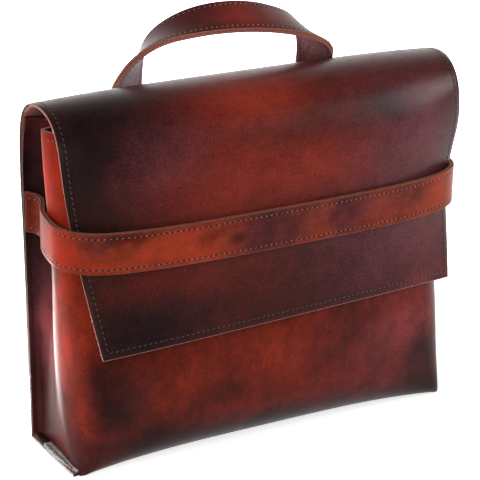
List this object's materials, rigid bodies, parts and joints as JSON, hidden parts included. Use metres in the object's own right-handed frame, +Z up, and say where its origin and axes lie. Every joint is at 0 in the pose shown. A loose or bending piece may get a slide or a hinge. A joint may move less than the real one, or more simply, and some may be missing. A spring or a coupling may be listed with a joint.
{
  "type": "leather bicycle pannier in briefcase form",
  "caption": "Briefcase-shaped leather bicycle pannier with folded gussets, a roll-over flap tucked under a broad stitched strap, an arched handle and a rear hook rail.",
  "frame": {"origin": "middle of the bottom, on the floor, half way between the front's bottom line and the back", "axes": "+Z up, +X to the right along the front, +Y towards the back and the rack"},
  "size_m": [0.407, 0.1455, 0.3832],
  "materials": {
    "body_leather": "burnished satin, red to dark brown",
    "flap_leather": "burnished satin, dark brown with red clouds",
    "strap_leather": "burnished satin, orange-red to brown",
    "strap_lining_leather": "dull flesh side",
    "handle_leather": "burnished satin, dark reddish brown",
    "handle_lining_leather": "grey-mauve suede",
    "rail_plastic": "moulded black, fine texture"
  },
  "bodies": {
    "root": {"body": "body_leather", "back_flap": "flap_leather", "strap_outer": "strap_leather", "strap_lining": "strap_lining_leather", "handle_outer": "handle_leather", "handle_lining": "handle_lining_leather", "rack_hook_rail": "rail_plastic"}
  },
  "joints": []
}
